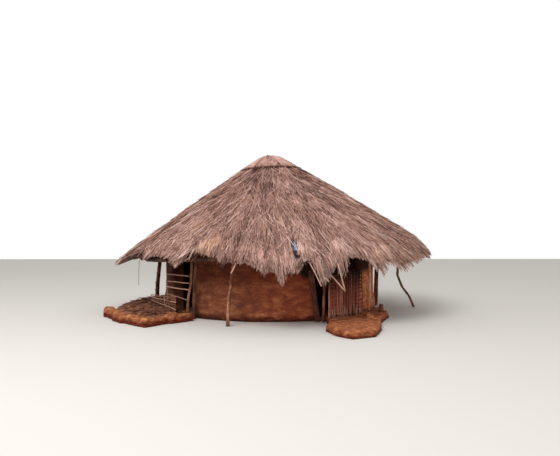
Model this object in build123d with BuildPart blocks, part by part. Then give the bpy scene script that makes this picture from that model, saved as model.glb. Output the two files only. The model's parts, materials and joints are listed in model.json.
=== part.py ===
from build123d import *
from math import atan2, cos, degrees, radians, sin, tan
import os

# Round hut of beaten earth with a conical grass roof on crooked poles.
# Lengths are millimetres. Angles are degrees, anticlockwise seen from above, and the
# front of the hut is at 270. A place round the hut is an angle and a distance out from
# the wall, so that it follows the wall.

# Earth wall
wall_radius = 2380
wall_thickness = 200
wall_bulge = 60
bulge_height = 150
wall_height = 1600

# The left wall swells out towards its doorway, by angle
left_wall_swell = [(146, 0), (162, 65), (178, 95), (194, 105), (209.5, 110)]

# Doorways, as the angles of their two jambs
left_door_start = left_wall_swell[-1][0]
left_door_end = 228
right_door_start = 291
right_door_end = 319
door_head_size = 80
door_head_rest = 4.5

# Floor and the raised earth round the hut
floor_height = 80
bank_height = 130
bank_start = 150
bank_end = 229
bank_width = 1150
kerb_width = 250
kerb_height = 170
kerb_chamfer = 45
kerb_slump = 6
kerb_start = 198
kerb_blocks = 8
kerb_end_gap = 230
kerb_end_blocks = 4
step_height = 120

# Roof: its axis leans a little to the left, and all its rings share that lean
roof_slope = 34.2
roof_lean = 2.6
roof_shift = 45
eave_gap = 158
rafter_size = 65
rafter_count = 24
rafter_tail = 130
short_rafter_top = 1000
crown_size = 70
crown_gap = 25
ring_beam_gap = 220
eave_beam_gap = 600
beam_size = 80
lath_width = 40
lath_thickness = 36
lath_first = 800
lath_spacing = 560
lath_count = 5

# Thatch, in courses that meet on level beds at these depths under its peak
thatch_thickness = 180
thatch_sides = 48
cap_depth = 475
upper_depth = 1215
lower_depth = 1965
course_step = 30
cap_height = 380
tie_width = 34
tie_height = 44

# Eave of the thatch: how far it reaches out from the wall, by angle. At the front it is
# worn into tufts and notches, and elsewhere it is evenly ragged.
eave_front = [
    (190, 1230), (197, 1240), (201, 900), (205, 640), (214, 680), (223, 780), (231, 860),
    (236, 960), (238, 800), (240, 560), (247, 600), (250, 860), (254, 1090), (256, 970),
    (259, 1160), (261, 1060), (264, 1230), (267, 1390), (269, 1290), (271.5, 1500),
    (273.5, 1320), (275, 1400), (278, 1150), (280, 1120), (281.5, 1560), (284, 1480),
    (287, 1290), (290, 1110), (297, 1130), (299, 1310), (301, 1370), (306, 1240),
    (311, 1330), (317, 1290), (324, 1210), (334, 1140),
]
rear_overhang = 1170
rear_ragged = 35
rear_tufts = 14

# Loose clearance between pieces that lean on one another
clearance = 0.3

# Posts: sizes at the foot, and how thick they stay at the head
stout_foot = 56
stout_head = 48
slim_foot = 38
slim_head = 30
thin_foot = 30
thin_head = 25
stub_size = 26
stub_length = 75
stub_heights = (300, 490, 760)
fork_height = 980
stump_angle = 323.5
stump_gap = 400
stump_height = 150

# Grey board leaning on the wall beside the right doorway
board_foot_angle = 290.8
board_head_angle = 288.8
board_lean = 140
board_height = 1000
board_width = 110
board_thickness = 24

# Low stick fence at the left doorway, higher at its near end
fence_near_angle = 226.4
fence_near_gap = 440
fence_far_angle = 179
fence_far_gap = 520
fence_rails = 6
fence_near_spacing = 58
fence_far_spacing = 30
fence_stick = 26
fence_cross = 5

# Rails across the left doorway, on a stake beside the wall
rail_near_angle = 227.6
rail_near_gap = 150
rail_far_angle = 207.3
rail_far_gap = 195
rail_near_heights = (370, 585, 723, 867)
rail_far_heights = (440, 593, 713, 865)
rail_size = 30
rail_stake_top = 900

# Strip of blue plastic tucked in the thatch, on one of its flat sides
strip_width = 65
strip_length = 290
strip_thickness = 12
strip_side = 273.75
strip_aside = 155
strip_above_middle = 145.705

# Woven screen before the right doorway
screen_near_angle = 291.8
screen_near_gap = 545
screen_far_angle = 313.2
screen_far_gap = 295
screen_height = 900
screen_stakes = 23
screen_weavers = 5
screen_foot = 110
screen_stake_size = 22
weaver_thickness = 9
weaver_height = 30

wall_inner = wall_radius - wall_thickness
foot_radius = wall_radius + wall_bulge
bank_radius = foot_radius + bank_width
ring_beam_radius = wall_radius + ring_beam_gap
eave_beam_radius = wall_radius + eave_beam_gap
rafter_foot = eave_beam_radius + rafter_tail
slope_rise = tan(radians(roof_slope))
slope_cosine = cos(radians(roof_slope))
side_angle = 360 / rafter_count

# The roof's own plane lies on the wall's top, which is cut off under the roof's lean
roof_plane = Plane(
    origin=(roof_shift, 0, wall_height),
    x_dir=(cos(radians(roof_lean)), 0, sin(radians(roof_lean))),
    z_dir=(-sin(radians(roof_lean)), 0, cos(radians(roof_lean))),
)

# Heights over that plane, measured at the roof's axis
rafter_peak = eave_gap + wall_radius * slope_rise + rafter_size / 2 / slope_cosine
beam_line = rafter_peak - (rafter_size + beam_size) / 2 / slope_cosine
lath_line = rafter_peak + (rafter_size + lath_thickness) / 2 / slope_cosine
underside_line = rafter_peak + (rafter_size / 2 + lath_thickness) / slope_cosine
surface_line = underside_line + thatch_thickness / slope_cosine
cap_bed = surface_line - cap_depth
upper_bed = surface_line - upper_depth
lower_bed = surface_line - lower_depth


def around(angle, radius, height=0.0):
    """A point at an angle and a distance from the hut's axis."""
    return Vector(radius * cos(radians(angle)), radius * sin(radians(angle)), height)


def roof_direction(angle, rise):
    """A direction in the roof's frame, out along an angle and up by a slope."""
    flat = around(angle, cos(radians(rise)), sin(radians(rise)))
    return roof_plane.from_local_coords(flat) - roof_plane.origin


def ring_of_poles(radius, peak, section):
    """Straight poles in a ring, one across each rafter, mitred where they meet."""
    with BuildSketch() as outline:
        RegularPolygon(radius, rafter_count, major_radius=False, rotation=side_angle / 2)
    path = roof_plane.offset(peak - radius * slope_rise) * outline.sketch.face().outer_wire()
    start = path.position_at(0.5 / rafter_count)
    along = path.tangent_at(0.5 / rafter_count)
    with BuildPart() as ring:
        with BuildSketch(Plane(origin=start, x_dir=start - path.center(), z_dir=-along)):
            add(section)
        sweep(path=path, transition=Transition.RIGHT)
    return ring.part


def beam_section(size):
    """A round log hewn flat below, and flat above where the rafters lie on it."""
    up = 90 - roof_slope
    radius = size / 2 / cos(radians(22.5))
    angles = (up - 22.5, up + 22.5, 121, 163, 205, 247.5, 292.5, 343)
    with BuildSketch() as section:
        with BuildLine():
            Polyline(*[around(angle, radius) for angle in angles], close=True)
        make_face()
    return section.sketch


def pole(points, radii, sides=8):
    """A crooked pole through points one above another, cut level at each."""
    with BuildPart() as stem:
        for point, radius in zip(points, radii):
            with BuildSketch(Plane(origin=point)):
                RegularPolygon(radius, sides)
        loft(ruled=True)
    return stem.part


def stick(start, end, radius, sides=6):
    """A straight stick between two points."""
    along = end - start
    with BuildPart() as bar:
        with BuildSketch(Plane(origin=start, z_dir=along)):
            RegularPolygon(radius, sides)
        extrude(amount=along.length)
    return bar.part


parts = {}


# Earth wall, bellied at the foot, in segments between the two doorways
def wall_profile(angle, swell=0.0):
    """Section of the wall at an angle, with its outer face moved out by a swell."""
    with BuildSketch(Plane.XZ.rotated((0, 0, angle))) as section:
        with BuildLine():
            Polyline(
                (wall_inner, wall_height * 1.2),
                (wall_inner, 0),
                (wall_radius + swell + wall_bulge / 2, 0),
                (foot_radius + swell, bulge_height),
                (wall_radius + swell, bulge_height * 3),
                (wall_radius + swell, wall_height * 1.2),
                close=True,
            )
        make_face()
    return section.sketch


def wall_segment(start, end):
    with BuildPart() as segment:
        add(wall_profile(start))
        revolve(axis=Axis.Z, revolution_arc=end - start)
        split(bisect_by=roof_plane, keep=Keep.BOTTOM)
    return segment.part


wall_joints = (right_door_end - 360, 19, 82, left_wall_swell[0][0])
wall_names = ("right_wall", "rear_right_wall", "rear_wall")
for name, start, end in zip(wall_names, wall_joints, wall_joints[1:]):
    parts[name] = wall_segment(start, end)
parts["front_wall"] = wall_segment(left_door_end, right_door_start)

with BuildPart() as left_wall:
    for angle, swell in left_wall_swell:
        add(wall_profile(angle, swell))
    loft()
    with BuildSketch():
        Circle(wall_inner)
    extrude(amount=wall_height * 1.2, mode=Mode.SUBTRACT)
    split(bisect_by=roof_plane, keep=Keep.BOTTOM)
parts["left_wall"] = left_wall.part


# Door heads: two poles side by side, lying on the wall's top across a doorway
def door_head(start, end):
    middle = (start + end) / 2
    half = (end - start) / 2
    reach = (wall_radius - wall_thickness / 2) * cos(radians(half))
    half_length = wall_inner * sin(radians(half + door_head_rest))
    pole_height = door_head_size / 2
    with BuildPart() as head:
        for side in (-1, 1):
            out = reach + side * (door_head_size / 2 + clearance)
            centre = around(middle, out, pole_height)
            along = around(middle + 90, half_length)
            low = roof_plane.from_local_coords(centre - along)
            high = roof_plane.from_local_coords(centre + along)
            with BuildSketch(Plane(origin=low, x_dir=roof_plane.z_dir, z_dir=high - low)):
                RegularPolygon(door_head_size / 2, 8, major_radius=False, rotation=22.5)
            extrude(amount=(high - low).length)
    return head.part


parts["left_door_head"] = door_head(left_door_start, left_door_end)
parts["right_door_head"] = door_head(right_door_start, right_door_end)

# Beaten earth floor, and a threshold of the same earth in each doorway
with BuildPart() as earth_floor:
    with BuildSketch():
        RegularPolygon(wall_inner - clearance, thatch_sides)
    extrude(amount=floor_height)
parts["earth_floor"] = earth_floor.part


def threshold(start, end):
    with BuildPart() as sill:
        with BuildSketch(Plane.XZ.rotated((0, 0, start))):
            with BuildLine():
                Polyline(
                    (wall_inner, 0),
                    (foot_radius, 0),
                    (foot_radius, floor_height * 0.8),
                    (wall_inner, floor_height),
                    close=True,
                )
            make_face()
        revolve(axis=Axis.Z, revolution_arc=end - start)
    return sill.part


parts["left_threshold"] = threshold(left_door_start, left_door_end)
parts["right_threshold"] = threshold(right_door_start, right_door_end)

# Raised bank at the front left, battered outside and cut to the swelling wall inside
with BuildPart() as left_bank:
    with BuildSketch(Plane.XZ.rotated((0, 0, bank_start))):
        with BuildLine():
            Polyline(
                (foot_radius + clearance, 0),
                (bank_radius, 0),
                (bank_radius, bank_height * 0.4),
                (bank_radius - bank_height * 1.5, bank_height * 0.92),
                (foot_radius + bank_width / 2, bank_height),
                (foot_radius + clearance, bank_height),
                close=True,
            )
        make_face()
    revolve(axis=Axis.Z, revolution_arc=bank_end - bank_start)
    for angle, swell in left_wall_swell:
        with BuildSketch(Plane.XZ.rotated((0, 0, angle))):
            with Locations((wall_inner, 0)):
                Rectangle(
                    foot_radius + swell + clearance - wall_inner, bank_height * 3,
                    align=(Align.MIN, Align.CENTER),
                )
    loft(mode=Mode.SUBTRACT)
parts["left_bank"] = left_bank.part


# Kerb of mud blocks, round the bank's rim and back along its end
def kerb_block(place, out, length, number):
    """A block whose inner face stands at a place, slumped a little and worn on top."""
    width = kerb_width * (1 + 0.12 * sin(number * 1.7))
    height = kerb_height * (1 + 0.12 * sin(number * 2.3)) - kerb_chamfer
    ground = Plane(origin=place + out * (width / 2), x_dir=out)
    shrink = 2 * height * tan(radians(kerb_slump))
    with BuildPart() as block:
        with BuildSketch(ground):
            Rectangle(width, length)
        extrude(amount=height, taper=kerb_slump)
        with BuildSketch(ground.offset(height)):
            Rectangle(width - shrink, length - shrink)
        extrude(amount=kerb_chamfer, taper=45)
    return block.part


rim = bank_radius + clearance
block_angle = (bank_end - kerb_start) / kerb_blocks
block_length = 2 * rim * tan(radians(block_angle / 2)) - clearance
end_first = foot_radius + kerb_end_gap
end_length = (rim + kerb_width - end_first) / kerb_end_blocks
with BuildPart() as left_kerb:
    for number in range(kerb_blocks):
        angle = kerb_start + (number + 0.5) * block_angle
        add(kerb_block(around(angle, rim), around(angle, 1), block_length, number))
    for number in range(kerb_end_blocks):
        middle = end_first + (number + 0.5) * end_length
        beside = around(bank_end + 90, 1)
        place = around(bank_end, middle) + beside * clearance
        add(kerb_block(place, beside, end_length - clearance, number + kerb_blocks))
parts["left_kerb"] = left_kerb.part

# Mud step before the right doorway, with clods and a stump at its right side
step_outline = [
    (297, -200), (291, 560), (285, 1190), (285, 1690), (287, 2030), (293, 1980),
    (300, 1490), (309, 910), (323, 590), (338, 220), (338, -200),
]
with BuildPart() as right_step:
    with BuildSketch():
        with BuildLine():
            Polyline(*[around(angle, foot_radius + gap) for angle, gap in step_outline], close=True)
        make_face()
        Circle(foot_radius + clearance, mode=Mode.SUBTRACT)
    extrude(amount=step_height, taper=12)
parts["right_step"] = right_step.part

clod_places = [(307.5, 640, 150), (305, 860, 120), (309.5, 480, 110)]
with BuildPart() as step_clods:
    for angle, gap, size in clod_places:
        with BuildSketch(Plane(origin=around(angle, foot_radius + gap, step_height))):
            RegularPolygon(size / 2, 6, rotation=angle)
        extrude(amount=size * 0.55, taper=18)
parts["step_clods"] = step_clods.part

with BuildPart() as stump:
    with BuildSketch(Plane(origin=around(stump_angle, foot_radius + stump_gap, step_height))):
        RegularPolygon(stout_foot, 8)
    extrude(amount=stump_height, taper=4)
parts["stump"] = stump.part

# Roof frame: beams on the posts, rafters on the beams, laths on the rafters
parts["ring_beam"] = ring_of_poles(ring_beam_radius, beam_line, beam_section(beam_size))
parts["eave_beam"] = ring_of_poles(eave_beam_radius, beam_line, beam_section(beam_size))

with BuildSketch() as lath_section:
    Rectangle(lath_width, lath_thickness, rotation=-roof_slope)
with BuildPart() as laths:
    for number in range(lath_count):
        add(ring_of_poles(lath_first + number * lath_spacing, lath_line, lath_section.sketch))
parts["laths"] = laths.part

# The crown ring hangs between the long rafters' heads, just under the cap's bed
with BuildSketch() as crown_section:
    Rectangle(crown_size, rafter_size, rotation=-roof_slope)
crown_rise = (crown_size * sin(radians(roof_slope)) + rafter_size * slope_cosine) / 2
crown_middle = (rafter_peak + crown_rise + crown_gap - cap_bed) / slope_rise
crown_radius = crown_middle + crown_size / 2 * slope_cosine
parts["crown_ring"] = ring_of_poles(crown_middle, rafter_peak, crown_section.sketch)


def rafter(angle, top_radius):
    """A rafter up the slope, flat below for the beams and above for the laths."""
    foot_height = rafter_peak - rafter_foot * slope_rise
    foot = roof_plane.from_local_coords(around(angle, rafter_foot, foot_height))
    up_slope = roof_direction(angle + 180, roof_slope)
    normal = roof_direction(angle, 90 - roof_slope)
    with BuildPart() as log:
        with BuildSketch(Plane(origin=foot, x_dir=normal, z_dir=up_slope)):
            RegularPolygon(rafter_size / 2, 8, major_radius=False, rotation=22.5)
        extrude(amount=(rafter_foot - top_radius) / slope_cosine)
    return log.part


quarter_size = rafter_count // 4
for number, quarter in enumerate(("right", "rear", "left", "front")):
    with BuildPart() as rafters:
        for place in range(number * quarter_size, (number + 1) * quarter_size):
            turn = place - quarter_size // 2
            top = short_rafter_top if turn % 2 else crown_radius
            add(rafter(turn * side_angle, top))
    parts[quarter + "_rafters"] = rafters.part


# Thatch: many-sided conical courses, hollow over the laths that they lie on
def surface_radius(height):
    """Radius of the thatch's outer face at a height over the roof's plane."""
    return (surface_line - height) / slope_rise


def course(low, high, low_radius, high_radius):
    rise = high - low
    hollow_radius = (underside_line - low) / slope_rise
    with BuildPart() as band:
        with BuildSketch(roof_plane.offset(low)):
            RegularPolygon(low_radius, thatch_sides, major_radius=False)
        extrude(amount=rise, taper=degrees(atan2(low_radius - high_radius, rise)))
        with BuildSketch(roof_plane.offset(low)):
            RegularPolygon(
                hollow_radius, rafter_count, major_radius=False, rotation=side_angle / 2
            )
        extrude(amount=rise, taper=90 - roof_slope, mode=Mode.SUBTRACT)
    return band.part


rear_start = eave_front[-1][0]
rear_angle = (eave_front[0][0] + 360 - rear_start) / rear_tufts
eave_rear = [
    (rear_start + number * rear_angle, rear_overhang + rear_ragged * sin(number * 2.3))
    for number in range(1, rear_tufts)
]
eave = eave_front + eave_rear
longest_reach = wall_radius + max(overhang for angle, overhang in eave)
eave_level = underside_line - (longest_reach + 2 * course_step) * slope_rise
with BuildPart() as eave_thatch:
    add(course(eave_level, lower_bed, surface_radius(eave_level), surface_radius(lower_bed)))
    with BuildSketch(roof_plane.offset(eave_level)):
        with BuildLine():
            Polyline(
                *[around(angle, wall_radius + overhang) for angle, overhang in eave], close=True
            )
        make_face()
    extrude(amount=lower_bed - eave_level, mode=Mode.INTERSECT)
parts["eave_thatch"] = eave_thatch.part

cap_radius = surface_radius(cap_bed) - course_step / 3
lower_rim = surface_radius(lower_bed) + course_step
parts["lower_thatch"] = course(lower_bed, upper_bed, lower_rim, surface_radius(upper_bed))
parts["upper_thatch"] = course(
    upper_bed, cap_bed, surface_radius(upper_bed) + course_step, cap_radius + tie_width
)

# Blue plastic strip, lying down the slope, a little above the middle between the lower
# course's rim and the eave's furthest reach
strip_radius = (lower_rim + longest_reach) / 2 - strip_above_middle
strip_height = surface_line - strip_radius * slope_rise
strip_plane = Plane(
    origin=roof_plane.from_local_coords(around(strip_side, strip_radius, strip_height)),
    x_dir=roof_direction(strip_side + 90, 0),
    z_dir=roof_direction(strip_side, 90 - roof_slope),
)
with BuildPart() as blue_strip:
    with BuildSketch(strip_plane.offset(clearance)):
        with Locations((strip_aside, 0)):
            Trapezoid(strip_width, strip_length, 87)
    extrude(amount=strip_thickness)
    upward = Axis(strip_plane.origin, strip_plane.z_dir)
    chamfer(blue_strip.faces().sort_by(upward)[-1].edges(), strip_thickness / 3)
parts["blue_strip"] = blue_strip.part

# Cap of bundled grass, gathered in at its foot by a dark tie
cap_shape = [
    (0, 1), (tie_height, 1), (cap_height * 0.5, 0.64), (cap_height * 0.84, 0.34),
    (cap_height, 0.08),
]
with BuildPart() as cap_thatch:
    for (low, share), (high, next_share) in zip(cap_shape, cap_shape[1:]):
        with BuildSketch(roof_plane.offset(cap_bed + low)):
            RegularPolygon(cap_radius * share, thatch_sides, major_radius=False)
        inset = cap_radius * (share - next_share)
        extrude(amount=high - low, taper=degrees(atan2(inset, high - low)))
parts["cap_thatch"] = cap_thatch.part

with BuildPart() as cap_tie:
    with BuildSketch(roof_plane.offset(cap_bed)):
        RegularPolygon(cap_radius + tie_width, thatch_sides, major_radius=False)
        RegularPolygon(cap_radius, thatch_sides, major_radius=False, mode=Mode.SUBTRACT)
    extrude(amount=tie_height)
parts["cap_tie"] = cap_tie.part


# Posts: each is drawn from its foot up, and cut off under the beam that it carries
def post(beam_radius, head_angle, places, radii, branches=()):
    """A crooked post. Each place is an angle, a distance out from the beam and a height."""
    under = roof_plane.offset(beam_line - beam_radius * slope_rise - beam_size / 2)
    head = under.from_local_coords(around(head_angle, beam_radius, beam_size))
    points = [around(angle, beam_radius + gap, height) for angle, gap, height in places]
    with BuildPart() as stem:
        add(pole([*points, head], radii))
        for start, end, radius in branches:
            add(pole([start, end], (radius, radius * 0.8), sides=6))
        split(bisect_by=under, keep=Keep.BOTTOM)
    return stem.part


slim = (slim_foot, slim_head + 4, slim_head + 6, slim_head)
parts["front_left_post"] = post(
    eave_beam_radius, 255.3, [(254, 27, 0), (254.4, 15, 490), (255.2, 0, 860)], slim
)
parts["front_right_post"] = post(
    ring_beam_radius, 293, [(292.8, 4, 0), (293.1, 12, 600)], (thin_foot, thin_head + 3, thin_head)
)
parts["doorway_post"] = post(
    ring_beam_radius, 233, [(230.8, -80, 0), (232.2, -40, 700)],
    (slim_foot, slim_foot - 2, slim_head + 2),
)
parts["doorway_prop"] = post(
    ring_beam_radius, 230.4, [(228.3, -10, bank_height), (231, 80, 440), (233.2, 105, 720)],
    (thin_foot, thin_head, thin_head + 3, thin_head - 1),
)
parts["right_post"] = post(
    ring_beam_radius, 6.6, [(6.8, -40, 0), (6.7, -20, 700)], (stout_foot, 53, stout_head)
)
parts["leaning_prop"] = post(
    eave_beam_radius, 357.6,
    [(359, 410, 0), (358.8, 300, 260), (358.4, 130, 480), (358, 12, 770)],
    (34, 30, 34, 30, 28),
)

# The left post keeps the stubs of three cut branches on its outer side
left_post_angle = 165.1
left_post_middle = around(left_post_angle, eave_beam_radius + 10)
stubs = []
for height in stub_heights:
    root = left_post_middle + Vector(-stout_foot / 3, 0, height)
    tip = root + Vector(-stub_length, 0, stub_length * 0.6)
    stubs.append((root, tip, stub_size / 2))
parts["left_post"] = post(
    eave_beam_radius, left_post_angle, [(left_post_angle, 20, bank_height), (left_post_angle, 10, 500)],
    (stout_foot, 52, stout_head), stubs,
)

# The forked post stands by the right jamb and carries the beam on two prongs
fork_root = around(322.3, ring_beam_radius, fork_height)
fork_tip = roof_plane.from_local_coords(around(325.6, ring_beam_radius, beam_size))
parts["forked_post"] = post(
    ring_beam_radius, 321.4, [(322.3, -15, step_height), (322.5, 0, fork_height)],
    (thin_foot, thin_head + 4, thin_head), [(fork_root, fork_tip, thin_head)],
)

rear_angles = (30, 62, 96, 130)
for number, angle in enumerate(rear_angles, start=1):
    parts[f"rear_post_{number}"] = post(
        eave_beam_radius, angle, [(angle, 20, 0), (angle + 0.8, 35, 650)],
        (slim_foot + 6, slim_foot + 2, slim_head + 6),
    )

# Grey board leaning on the wall beside the right doorway
board_foot = around(board_foot_angle, wall_radius + board_lean)
board_head = around(
    board_head_angle, wall_radius + clearance + board_thickness / 2, board_height
)
with BuildPart() as leaning_board:
    with BuildSketch(
        Plane(
            origin=board_foot,
            x_dir=around(board_head_angle + 90, 1),
            z_dir=board_head - board_foot,
        )
    ):
        Rectangle(board_width, board_thickness)
    extrude(amount=(board_head - board_foot).length)
    split(bisect_by=Plane.XY, keep=Keep.TOP)
parts["leaning_board"] = leaning_board.part

# Stick fence: sticks laid one over another, and short ones woven across its near end
fence_near = around(fence_near_angle, wall_radius + fence_near_gap, bank_height)
fence_far = around(fence_far_angle, wall_radius + fence_far_gap, bank_height)
fence_foot = fence_stick / 2
near_top = fence_near + Vector(0, 0, fence_foot + fence_near_spacing * (fence_rails - 1))
near_bottom = fence_near + Vector(0, 0, fence_foot)
fence_run = fence_far - fence_near
with BuildPart() as stick_fence:
    for number in range(fence_rails):
        lift = 2 * sin(number * 1.9) if number else 0
        low = near_bottom + Vector(0, 0, number * fence_near_spacing + lift)
        far = fence_far + Vector(0, 0, fence_foot + number * fence_far_spacing)
        add(stick(low, far, fence_stick / 2))
    for number in range(fence_cross):
        base = fence_near + fence_run * (0.02 + 0.055 * number)
        top = base + fence_run * 0.05 * (-1) ** number
        height = near_top.Z - bank_height - number * fence_stick / 2
        add(pole([base, top + Vector(0, 0, height)], (fence_stick / 2.4, fence_stick / 3), 6))
parts["stick_fence"] = stick_fence.part

# Rails across the left doorway
rail_far = around(rail_far_angle, wall_radius + rail_far_gap)
rail_near = around(rail_near_angle, wall_radius + rail_near_gap)
with BuildPart() as door_rails:
    add(
        pole(
            [rail_far + Vector(0, 0, bank_height), rail_far + Vector(0, 0, rail_stake_top)],
            (rail_size / 2, rail_size / 2.5),
        )
    )
    for far_height, near_height in zip(rail_far_heights, rail_near_heights):
        far = rail_far + Vector(0, 0, far_height)
        add(stick(far, rail_near + Vector(0, 0, near_height), rail_size / 2))
parts["door_rails"] = door_rails.part

# Woven screen: upright sticks with weavers passing before and behind them in turn
screen_near = around(screen_near_angle, wall_radius + screen_near_gap, step_height)
screen_far = around(screen_far_angle, wall_radius + screen_far_gap, step_height)
screen_run = screen_far - screen_near
screen_plane = Plane(origin=screen_near, x_dir=screen_run, z_dir=(0, 0, 1))
stake_gap = screen_run.length / (screen_stakes - 1)
weaver_spacing = (screen_height - screen_foot * 2) / (screen_weavers - 1)
weave_offset = (screen_stake_size + weaver_thickness) / 2 - 1
with BuildPart() as woven_screen:
    with BuildSketch(screen_plane):
        with Locations(*[(number * stake_gap, 0) for number in range(screen_stakes)]):
            Rectangle(screen_stake_size, screen_stake_size, rotation=45)
    extrude(amount=screen_height)
    for weaver in range(screen_weavers):
        way = 1 if weaver % 2 else -1
        front = [
            (number * stake_gap, way * (-1) ** number * weave_offset + weaver_thickness / 2)
            for number in range(screen_stakes)
        ]
        back = [(x, y - weaver_thickness) for x, y in reversed(front)]
        with BuildSketch(screen_plane.offset(screen_foot + weaver * weaver_spacing)):
            with BuildLine():
                Polyline(*front, *back, close=True)
            make_face()
        extrude(amount=weaver_height)
parts["woven_screen"] = woven_screen.part

os.makedirs("parts", exist_ok=True)
for name, solid in parts.items():
    solid.label = name
    export_step(solid, f"parts/{name}.step")
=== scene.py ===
import bpy
import bmesh
import json
import math
import numpy as np
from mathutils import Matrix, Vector


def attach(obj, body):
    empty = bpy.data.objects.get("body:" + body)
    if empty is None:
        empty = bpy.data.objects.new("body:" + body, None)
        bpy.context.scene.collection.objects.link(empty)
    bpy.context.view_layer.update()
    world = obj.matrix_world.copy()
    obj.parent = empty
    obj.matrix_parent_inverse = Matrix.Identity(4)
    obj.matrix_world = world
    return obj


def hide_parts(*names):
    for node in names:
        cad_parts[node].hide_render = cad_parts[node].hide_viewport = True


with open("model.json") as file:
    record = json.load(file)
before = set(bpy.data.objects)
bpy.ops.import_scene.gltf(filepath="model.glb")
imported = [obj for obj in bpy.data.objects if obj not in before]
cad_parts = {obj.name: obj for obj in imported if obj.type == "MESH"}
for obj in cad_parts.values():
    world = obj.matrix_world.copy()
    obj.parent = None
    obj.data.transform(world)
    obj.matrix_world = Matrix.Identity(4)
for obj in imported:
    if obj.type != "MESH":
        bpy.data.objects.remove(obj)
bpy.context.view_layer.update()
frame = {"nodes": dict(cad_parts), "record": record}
nodes = frame["nodes"]

# Camera
# The hut is seen from eye level, thirteen metres from its axis, through the lens of an
# ordinary phone. The horizon lies a little below the picture's middle. Lengths are in metres.
eye_height = 1.65
eye_distance = 13.2
sensor_width = 36
picture_width, picture_height = 560, 456
focal_pixels = 550
horizon_row = 238
axis_column = 272

camera_data = bpy.data.cameras.new("camera")
camera_data.sensor_width = sensor_width
camera_data.lens = sensor_width * focal_pixels / picture_width
camera = bpy.data.objects.new("camera", camera_data)
bpy.context.collection.objects.link(camera)
pitch = math.atan((horizon_row - picture_height / 2) / focal_pixels)
turn = math.atan((picture_width / 2 - axis_column) / focal_pixels)
camera.location = (0, -eye_distance, eye_height)
camera.rotation_euler = (math.pi / 2 + pitch, 0, -turn)
bpy.context.scene.camera = camera
bpy.context.scene.view_settings.view_transform = "Standard"


# Floor and light
# A pale floor and an even, bright sky with one broad soft lamp from the upper left, as on a
# hazy day. The camera sees the sky as white.
def linear(code):
    """A colour written as #rrggbb, as the linear values that a shader takes."""
    values = [int(code[place:place + 2], 16) / 255 for place in (1, 3, 5)]
    return tuple(v / 12.92 if v <= 0.04045 else ((v + 0.055) / 1.055) ** 2.4 for v in values)


def add(tree, kind, place=(0, 0), links=None, **settings):
    """A node with its settings, and its links given as input: output socket."""
    node = tree.nodes.new(kind)
    node.location = place
    for name, value in settings.items():
        setattr(node, name, value)
    for name, source in (links or {}).items():
        if hasattr(source, "is_output"):
            tree.links.new(source, node.inputs[name])
        else:
            node.inputs[name].default_value = source
    return node


def new_material(name, roughness, gloss=0.5):
    """A material with its node tree and its shader, at this roughness and specular level."""
    material = bpy.data.materials.new(name)
    material.use_nodes = True
    tree = material.node_tree
    shader = tree.nodes["Principled BSDF"]
    shader.inputs["Roughness"].default_value = roughness
    shader.inputs["Specular IOR Level"].default_value = gloss
    return material, tree, shader


floor_size = 60
bpy.ops.object.select_all(action="DESELECT")
bpy.ops.mesh.primitive_grid_add(x_subdivisions=2, y_subdivisions=2, size=floor_size)
floor = bpy.context.object
floor.name = "floor"
floor_paint, tree, shader = new_material("matt pale floor paint", 0.9)
shader.inputs["Base Color"].default_value = (*linear("#d9d6d1"), 1)
floor.data.materials.append(floor_paint)

sky_strength = 0.74
world = bpy.data.worlds.new("hazy sky")
world.use_nodes = True
bpy.context.scene.world = world
sky = world.node_tree
sky_light = sky.nodes["Background"]
sky_light.inputs["Color"].default_value = (*linear("#f4f1ee"), 1)
sky_light.inputs["Strength"].default_value = sky_strength
seen_sky = add(sky, "ShaderNodeBackground", (0, -200), {"Color": (1, 1, 1, 1), "Strength": 1})
path = add(sky, "ShaderNodeLightPath", (-400, 300))
either = add(sky, "ShaderNodeMath", (-200, 300),
             {0: path.outputs["Is Camera Ray"], 1: path.outputs["Is Glossy Ray"]},
             operation="MAXIMUM")
choice = add(sky, "ShaderNodeMixShader", (200, 0),
             {0: either.outputs[0], 1: sky_light.outputs[0], 2: seen_sky.outputs[0]})
sky.links.new(choice.outputs[0], sky.nodes["World Output"].inputs["Surface"])

lamp_place, lamp_aim = Vector((-5, -12.5, 12)), Vector((0, 0, 1.2))
lamp_watts, lamp_width = 1750, 9
bpy.ops.object.light_add(type="AREA", location=lamp_place)
key = bpy.context.object
key.name = "key"
key.data.energy = lamp_watts
key.data.size = lamp_width
key.rotation_euler = (lamp_aim - lamp_place).to_track_quat("-Z", "Y").to_euler()

# Thatch
# Weathered grass, laid on the laths in handfuls with their cut ends down the slope, one
# over another from the eave to the crown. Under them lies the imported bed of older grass,
# a shrunken and lumpy copy of the three courses. The straws are greyed by sun and rain.
merge_distance = 0.00005


def copy_of(name, *sources):
    """Copies of these nodes as one closed mesh, standing for them."""
    shape = bmesh.new()
    for source in sources:
        shape.from_mesh(nodes[source].data)
    bmesh.ops.remove_doubles(shape, verts=shape.verts, dist=merge_distance)
    mesh = bpy.data.meshes.new(name)
    shape.to_mesh(mesh)
    shape.free()
    piece = bpy.data.objects.new(name, mesh)
    bpy.context.collection.objects.link(piece)
    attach(piece, "root")
    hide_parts(*sources)
    return piece


def apply_modifiers(piece):
    """Applies all the piece's modifiers, in their order."""
    bpy.ops.object.select_all(action="DESELECT")
    bpy.context.view_layer.objects.active = piece
    piece.select_set(True)
    for modifier in list(piece.modifiers):
        bpy.ops.object.modifier_apply(modifier=modifier.name)


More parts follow.
